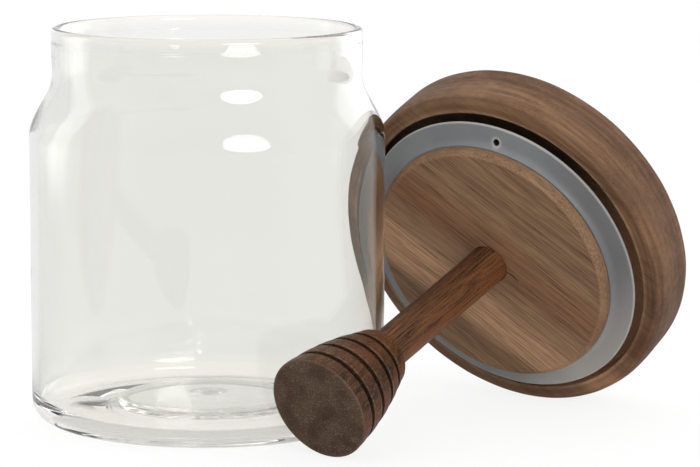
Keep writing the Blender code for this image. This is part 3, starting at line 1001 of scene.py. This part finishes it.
def floor_material(colour):
    """White paper, so brightly lit that only a trace of the shadows on it is seen."""
    material, tree, shader = new_material("pale_floor")
    coordinates = add_node(tree, "ShaderNodeTexCoord")
    clouds = noise_of(tree, coordinates.outputs["Object"], scale=9.0, detail=3.0)
    mottle = ranged(clouds, 0.3, 0.7, 0.985, 1.0)
    floor_x, floor_y = parts_of(tree, coordinates.outputs["Object"])[:2]
    x, y = floor_x - JAR_AXIS.x, floor_y - JAR_AXIS.y
    away = hypotenuse(x, y)
    seen, mirrored = seen_straight(tree), seen_mirrored(tree)
    brightness = ranged(seen, 0.0, 1.0, 0.80, 0.17) * mottle * (1.0 - mirrored * 0.8)
    tone = add_node(tree, "ShaderNodeVectorMath", {0: colour, "Scale": brightness}, operation="SCALE")
    tree.links.new(tone.outputs[0], shader.inputs["Base Color"])
    shader.inputs["Roughness"].default_value = 0.9
    shader.inputs["Specular IOR Level"].default_value = 0.1
    shader.inputs["Emission Color"].default_value = (1.0, 1.0, 1.0, 1.0)
    level = mirror_level(y / away, ranged(away, 0.17, 0.32, soft=True))
    bright = level * FLOOR_MIRROR_SHARE + stripes(x, y) * ranged(away, 0.40, 0.65, soft=True)
    feed(tree, seen * FLOOR_GLOW + mirrored * bright, shader.inputs["Emission Strength"])
    return material


def seen_mirrored(tree):
    """1 for what is mirrored in a surface, even if it's seen through glass, and 0 for all other light."""
    path = add_node(tree, "ShaderNodeLightPath")
    return reckon(tree, "MINIMUM", path.outputs["Glossy Depth"], 1.0)


def seen_straight(tree):
    """1 where the camera looks straight at something or through clear glass, and 0 for all other light."""
    path = add_node(tree, "ShaderNodeLightPath")
    bounces = Amount(tree, path.outputs["Glossy Depth"]) + Amount(tree, path.outputs["Diffuse Depth"])
    return reckon(tree, "MAXIMUM", 1.0 - bounces, 0.0)


def blown_waves(amount, height):
    """A rule that draws the wall in by up to an amount, in slow waves round and up the jar."""
    # Each wave's turns round the jar, half turns up it, and shift
    waves = [(2, 1.0, 0.4), (3, 2.0, 1.9), (5, 3.0, 4.1), (1, 4.0, 2.6)]
    still_middle = 0.03

    def rule(points):
        angle = np.arctan2(points[:, 1], points[:, 0])
        rise = points[:, 2] / height
        total = sum(np.cos(turns * angle + climb * math.pi * rise + shift) for turns, climb, shift in waves)
        share = (total / len(waves) + 1.0) / 2.0
        radius = np.maximum(np.hypot(points[:, 0], points[:, 1]), 1e-6)
        inward = amount * share * np.minimum(radius / still_middle, 1.0) / radius
        return points * np.stack([1.0 - inward, 1.0 - inward, np.ones_like(inward)], axis=1)
    return rule


def make_jar(scene):
    jar = scene.honey_jar_sizes
    obj = turned("blown_glass_jar", jar_outline(jar), jar.sides)
    move_points(obj, blown_waves(jar.waviness, jar.height))
    glass = glass_material(scene.honey_colours, jar)
    settle(obj, Matrix.Translation(JAR_FOOT), glass, ["glass_jar"], sharp=60.0)


def uneven(amount, length, seed):
    """A rule that gives a turned surface slow unevenness."""
    def rule(points):
        moved = points.copy()
        for i, point in enumerate(points):
            place = Vector(point) / length + Vector((seed, 0.0, 0.0))
            shift = noise.noise(place) * amount
            radius = max(math.hypot(point[0], point[1]), 1e-6)
            moved[i, 0] -= abs(shift) * point[0] / radius
            moved[i, 1] -= abs(shift) * point[1] / radius
        return moved
    return rule


def make_lid(scene):
    lid, dipper = scene.honey_lid_sizes, scene.honey_dipper_sizes
    obj = turned("turned_wood_lid", lid_outline(lid), lid.sides)
    move_points(obj, uneven(lid.wobble, lid.wobble_length, seed=3.0))
    place = lid_matrix(lid)
    along_dipper = place.inverted() @ dipper_matrix(lid, dipper)
    play, depth, outside = 0.0002, dipper.stick_in_lid + 0.0006, -0.02
    cut(obj, cylinder("stick_hole", dipper.stick_radius + play, outside, depth, 64, along_dipper))
    cut(obj, crack_shape(lid))
    wood = lid_material(scene.honey_colours, lid, place)
    settle(obj, place, wood, ["wooden_lid"], sharp=35.0)


def crack_shape(lid, start=(0.0044, 0.0007), end=(0.0090, 0.0045), width=0.0007, depth=0.0016, steps=10):
    """A thin slit in the plug's face, out from the stick's hole."""
    first, last = Vector(start), Vector(end)
    along = last - first
    side = Vector((-along.y, along.x)).normalized()
    sway = 0.00012
    spots = []
    for sign in (1, -1):
        for i in range(steps):
            share = i / steps if sign == 1 else 1 - i / steps
            half = width / 2 * math.sin(math.pi * share) ** 0.7
            spots.append(first + along * share + side * (sign * half + sway * math.sin(9 * share)))
    shape = bmesh.new()
    above = 0.001
    corners = [shape.verts.new((spot.x, spot.y, -lid.plug_height - above)) for spot in spots]
    face = shape.faces.new(corners)
    grown = bmesh.ops.extrude_face_region(shape, geom=[face])
    lifted = [item for item in grown["geom"] if isinstance(item, bmesh.types.BMVert)]
    bmesh.ops.translate(shape, verts=lifted, vec=(0.0, 0.0, depth + above))
    bmesh.ops.recalc_face_normals(shape, faces=shape.faces)
    return shaped("crack", shape)


def vent_place(ring):
    """The middle of the vent hole, in the lid's own frame."""
    outward = Vector((math.cos(ring.vent_angle), math.sin(ring.vent_angle), 0.0))
    return outward * ring.vent_circle


def make_ring(scene):
    lid, ring = scene.honey_lid_sizes, scene.honey_ring_sizes
    obj = turned("soft_seal_ring", ring_outline(lid, ring), ring.sides, ring=True)
    cut(obj, cylinder("vent", ring.vent_radius, -0.01, 0.01, 24, Matrix.Translation(vent_place(ring))))
    place = lid_matrix(lid)
    silicone = silicone_material(scene.honey_colours, ring, place)
    settle(obj, place, silicone, ["seal_ring"], sharp=50.0)


def dipper_group():
    """Geometry Nodes that turn a dipper: a stick, a head that widens, and grooves round it."""
    names = [
        "Length", "Stick in Lid", "Stick Radius", "Head Start", "Shoulder", "Shoulder Radius",
        "Belly", "Belly at", "End Radius", "Edge Round",
        "First Groove", "Groove Pitch", "Groove Width", "Groove Depth", "Wobble",
    ]
    tree, given, result = new_group(
        "Turned Dipper", "GeometryNodeTree",
        [(name, "NodeSocketFloat", None) for name in names]
        + [(name, "NodeSocketInt", None) for name in ("Grooves", "Seed", "Sides", "Rows")]
        + [("Wood", "NodeSocketMaterial", None)],
        [("Geometry", "NodeSocketGeometry")])
    size = {name: Amount(tree, given.outputs[name]) for name in names + ["Grooves", "Seed", "Sides"]}
    grid = add_node(tree, "GeometryNodeMeshGrid", {
        "Size X": 1.0, "Size Y": 1.0, "Vertices X": given.outputs["Rows"], "Vertices Y": size["Sides"] + 1})
    spot = add_node(tree, "GeometryNodeInputPosition").outputs[0]
    across, around = parts_of(tree, spot)[:2]
    row = across + 0.5
    angle = (around + 0.5) * math.tau
    # Shares of the rows where the cap, the stick and the head's side end
    cap, stick, head = 0.02, 0.34, 0.94
    along = (ranged(row, cap, stick, 0.0, size["Head Start"] + size["Stick in Lid"])
             + ranged(row, stick, head, 0.0, size["Length"] - size["Head Start"]) - size["Stick in Lid"])
    closing = reckon(tree, "MINIMUM", ranged(row, 0.0, cap), ranged(row, head, 1.0, 1.0, 0.0))

    shoulder_end = size["Head Start"] + size["Shoulder"]
    part = 1.0 - ranged(along, size["Head Start"], shoulder_end)
    swell = (size["Shoulder Radius"] - size["Stick Radius"]) * reckon(tree, "SQRT", 1.0 - part * part)
    slim = size["Stick Radius"] + swell
    # Where a point lies on the side's curve, from its place along the axis
    square = shoulder_end - size["Belly at"] * 2.0 + size["Length"]
    linear = (size["Belly at"] - shoulder_end) * 2.0
    past = reckon(tree, "MAXIMUM", along - shoulder_end, 0.0)
    share = (reckon(tree, "SQRT", linear * linear + square * past * 4.0) - linear) / (square * 2.0)
    rest = 1.0 - share
    full = (rest * rest * size["Shoulder Radius"] + rest * share * size["Belly"] * 2.0
            + share * share * size["End Radius"])
    on_head = reckon(tree, "GREATER_THAN", along, shoulder_end)
    radius = slim * (1.0 - on_head) + full * on_head

    past_middle = past_groove(along, size["First Groove"], size["Groove Pitch"], size["Grooves"] - 1.0)
    distance = reckon(tree, "ABSOLUTE", past_middle)
    cut_in = ranged(distance, 0.0, size["Groove Width"] * 0.5, size["Groove Depth"], 0.0)
    # The ribs fall off a little towards their grooves
    rib_reach, rib_fall = 0.0022, 0.00012
    rounding = ranged(distance, 0.0, rib_reach, rib_fall, 0.0, soft=True)

    corner = reckon(tree, "MAXIMUM", along - size["Length"] + size["Edge Round"], 0.0)
    edge = size["Edge Round"]
    drop = edge - reckon(tree, "SQRT", reckon(tree, "MAXIMUM", edge * edge - corner * corner, 0.0))
    sine, cosine = reckon(tree, "SINE", angle), reckon(tree, "COSINE", angle)
    waves_per_metre = 160.0
    seeded = vector_of(tree, cosine + size["Seed"], sine, along * waves_per_metre)
    stray = (noise_of(tree, seeded, scale=1.3) - 0.5) * size["Wobble"] * 2.0
    final = (radius - cut_in - rounding - drop + stray) * closing
    moved = add_node(tree, "GeometryNodeSetPosition", {
        "Geometry": grid.outputs["Mesh"],
        "Position": vector_of(tree, final * cosine, final * sine, along * -1.0)})
    merged = add_node(tree, "GeometryNodeMergeByDistance", {
        "Geometry": moved.outputs[0], "Distance": 0.000002})
    real = add_node(tree, "GeometryNodeRealizeInstances", {"Geometry": merged.outputs[0]})
    painted = add_node(tree, "GeometryNodeSetMaterial", {
        "Geometry": real.outputs[0], "Material": given.outputs["Wood"]})
    tree.links.new(painted.outputs[0], result.inputs["Geometry"])
    return tree


def make_dipper(scene):
    lid, dipper = scene.honey_lid_sizes, scene.honey_dipper_sizes
    place = dipper_matrix(lid, dipper)
    wood = dipper_material(scene.honey_colours, dipper, place)
    tree = dipper_group()
    source = linked("dipper_source", bpy.data.meshes.new("dipper_source"))
    nodes = source.modifiers.new("Turned Dipper", "NODES")
    nodes.node_group = tree
    # Each input but the wood is named as its size is
    for item in tree.interface.items_tree:
        if item.name == "Wood":
            nodes[item.identifier] = wood
        elif item.in_out == "INPUT":
            nodes[item.identifier] = getattr(dipper, item.name.lower().replace(" ", "_"))
    obj = plain_copy(source, "grooved_dipper")
    source.modifiers.remove(nodes)
    bpy.data.objects.remove(source)
    settle(obj, place, wood, ["honey_dipper"], sharp=50.0)


def direction(azimuth, elevation):
    """From the jar outwards. Azimuth 0 is towards the viewer, and it grows to the viewer's right."""
    across = math.cos(elevation)
    return Vector((math.sin(azimuth) * across, -math.cos(azimuth) * across, math.sin(elevation)))


def softbox(name, azimuth, elevation, distance, width, height, radiance):
    """A soft oval light that faces the jar, and that the camera doesn't see."""
    light = bpy.data.lights.new(name, "AREA")
    light.shape = "ELLIPSE"
    light.size = width
    light.size_y = height
    light.energy = radiance * math.pi * width * height
    obj = linked(name, light)
    towards = direction(azimuth, elevation)
    middle = Vector((JAR_AXIS.x, JAR_AXIS.y, JAR_HIGH.z / 2)) + towards * distance
    obj.matrix_world = Matrix.Translation(middle) @ towards.to_track_quat("Z", "Y").to_matrix().to_4x4()
    obj.visible_camera = False


def stripes(x, y):
    """Soft upright stripes of the surroundings, at the back right and the left, from 0 to 1."""
    total = 0.0
    for azimuth, half_width, soft_edge, strength in STRIPES:
        towards = direction(math.radians(azimuth), 0.0)
        facing = (x * towards.x + y * towards.y) / hypotenuse(x, y)
        outer, inner = math.radians(half_width + soft_edge), math.radians(half_width)
        total = ranged(facing, math.cos(outer), math.cos(inner), soft=True) * strength + total
    return total


def mirror_level(backward, dark_share):
    """How bright the surroundings are in a mirror: dimmest towards the viewer, brightest behind the jar."""
    return (ranged(backward, 0.3, 0.8, SIDE_LEVEL, BACK_LEVEL, soft=True)
            - ranged(backward, -0.30, -0.85, 0.0, SIDE_LEVEL - FRONT_LEVEL, soft=True) * dark_share)


def pale_world(strength):
    """Bright surroundings, dimmer on the viewer's side and in mirrors.

    What is seen straight or through the clear glass is plain white.
    """
    world = bpy.data.worlds.new("light_tent")
    world.use_nodes = True
    tree = world.node_tree
    background = tree.nodes["Background"]
    coordinates = add_node(tree, "ShaderNodeTexCoord")
    x, y, z = parts_of(tree, coordinates.outputs["Generated"])
    front = ranged(y, -0.15, -0.75, soft=True) * ranged(z, 0.75, 0.35, soft=True)
    in_mirror = mirror_level(y, ranged(z, 0.97, 0.80, soft=True)) + stripes(x, y)
    around = mixed_amount(seen_mirrored(tree), 1.0 - front * FRONT_DIMMING, in_mirror)
    brightness = mixed_amount(seen_straight(tree), around, 1.0)
    feed(tree, brightness * strength, background.inputs["Strength"])
    background.inputs["Color"].default_value = (1.0, 1.0, 1.0, 1.0)
    bpy.context.scene.world = world


def set_stage(scene):
    """The floor, the surroundings, the lamp, the camera and how light and colour are handled."""
    studio = scene.honey_studio
    shape = bmesh.new()
    bmesh.ops.create_circle(shape, cap_ends=True, segments=96, radius=studio.floor_size)
    below_foot = 0.0001
    bmesh.ops.translate(shape, verts=shape.verts, vec=(0.0, 0.0, JAR_LOW.z - below_foot))
    floor = shaped("pale_floor", shape)
    floor.data.materials.append(floor_material(scene.honey_colours.floor))
    pale_world(studio.world_strength)
    softbox("key_light", studio.lamp_azimuth, studio.lamp_elevation, studio.lamp_distance,
            studio.lamp_width, studio.lamp_height, studio.lamp_radiance)
    set_camera(scene)
    scene.view_settings.view_transform = "Standard"
    scene.view_settings.look = "None"
    # Light is thrown to and fro many times inside the thick glass of the base
    scene.cycles.max_bounces = LIGHT_BOUNCES
    scene.cycles.glossy_bounces = LIGHT_BOUNCES
    scene.cycles.transmission_bounces = LIGHT_BOUNCES


def set_camera(scene):
    """The camera stands and looks as the photograph's did."""
    studio = scene.honey_studio
    camera = bpy.data.cameras.new("photo_camera")
    camera.sensor_width = SENSOR_WIDTH
    camera.lens = FOCAL_PIXELS / PHOTO_WIDTH * SENSOR_WIDTH
    camera.clip_start = 0.01
    camera.clip_end = 50.0
    obj = linked("photo_camera", camera)
    yaw, pitch, roll = studio.camera_yaw, studio.camera_pitch, studio.camera_roll
    ahead = Vector((math.sin(yaw) * math.cos(pitch), math.cos(yaw) * math.cos(pitch), -math.sin(pitch)))
    level = Vector((math.cos(yaw), -math.sin(yaw), 0.0))
    upward = level.cross(ahead)
    right = level * math.cos(roll) + upward * math.sin(roll)
    above = upward * math.cos(roll) - level * math.sin(roll)
    turn = Matrix((right, above, -ahead)).transposed().to_4x4()
    obj.matrix_world = Matrix.Translation(JAR_FOOT + Vector(studio.camera_offset)) @ turn
    scene.camera = obj


class MakeJar(bpy.types.Operator):
    """Blow the clear glass jar"""

    bl_idname = "honeyjar.make_jar"
    bl_label = "Make Glass Jar"

    def execute(self, context):
        make_jar(context.scene)
        return {"FINISHED"}


class MakeLid(bpy.types.Operator):
    """Turn the wooden lid and lean it beside the jar"""

    bl_idname = "honeyjar.make_lid"
    bl_label = "Make Wooden Lid"

    def execute(self, context):
        make_lid(context.scene)
        return {"FINISHED"}


class MakeRing(bpy.types.Operator):
    """Mould the seal ring on the lid's plug"""

    bl_idname = "honeyjar.make_ring"
    bl_label = "Make Seal Ring"

    def execute(self, context):
        make_ring(context.scene)
        return {"FINISHED"}


class MakeDipper(bpy.types.Operator):
    """Turn the grooved honey dipper and set it in the lid"""

    bl_idname = "honeyjar.make_dipper"
    bl_label = "Make Honey Dipper"

    def execute(self, context):
        make_dipper(context.scene)
        return {"FINISHED"}


class SetStage(bpy.types.Operator):
    """Set the floor, the lights and the camera"""

    bl_idname = "honeyjar.set_stage"
    bl_label = "Set Stage"

    def execute(self, context):
        set_stage(context.scene)
        return {"FINISHED"}


class HoneyJarPanel(bpy.types.Panel):
    """Lists the steps that make the jar, and its sizes"""

    bl_idname = "VIEW3D_PT_honey_jar"
    bl_label = "Glass Honey Jar"
    bl_space_type = "VIEW_3D"
    bl_region_type = "UI"
    bl_category = "Honey Jar"

    def draw(self, context):
        for operator in OPERATORS:
            self.layout.operator(operator.bl_idname)
        for name, group in GROUPS.items():
            box = self.layout.box()
            box.label(text=group.__doc__)
            for setting in group.__annotations__:
                box.prop(getattr(context.scene, name), setting)


OPERATORS = (MakeJar, MakeLid, MakeRing, MakeDipper, SetStage)


def register():
    for cls in (*GROUPS.values(), *OPERATORS, HoneyJarPanel):
        bpy.utils.register_class(cls)
    for name, group in GROUPS.items():
        setattr(bpy.types.Scene, name, PointerProperty(type=group))


def unregister():
    for name in GROUPS:
        delattr(bpy.types.Scene, name)
    for cls in reversed((*GROUPS.values(), *OPERATORS, HoneyJarPanel)):
        bpy.utils.unregister_class(cls)


def main():
    register()
    bpy.ops.honeyjar.make_jar()
    bpy.ops.honeyjar.make_lid()
    bpy.ops.honeyjar.make_ring()
    bpy.ops.honeyjar.make_dipper()
    bpy.ops.honeyjar.set_stage()


if __name__ == "__main__":
    main()
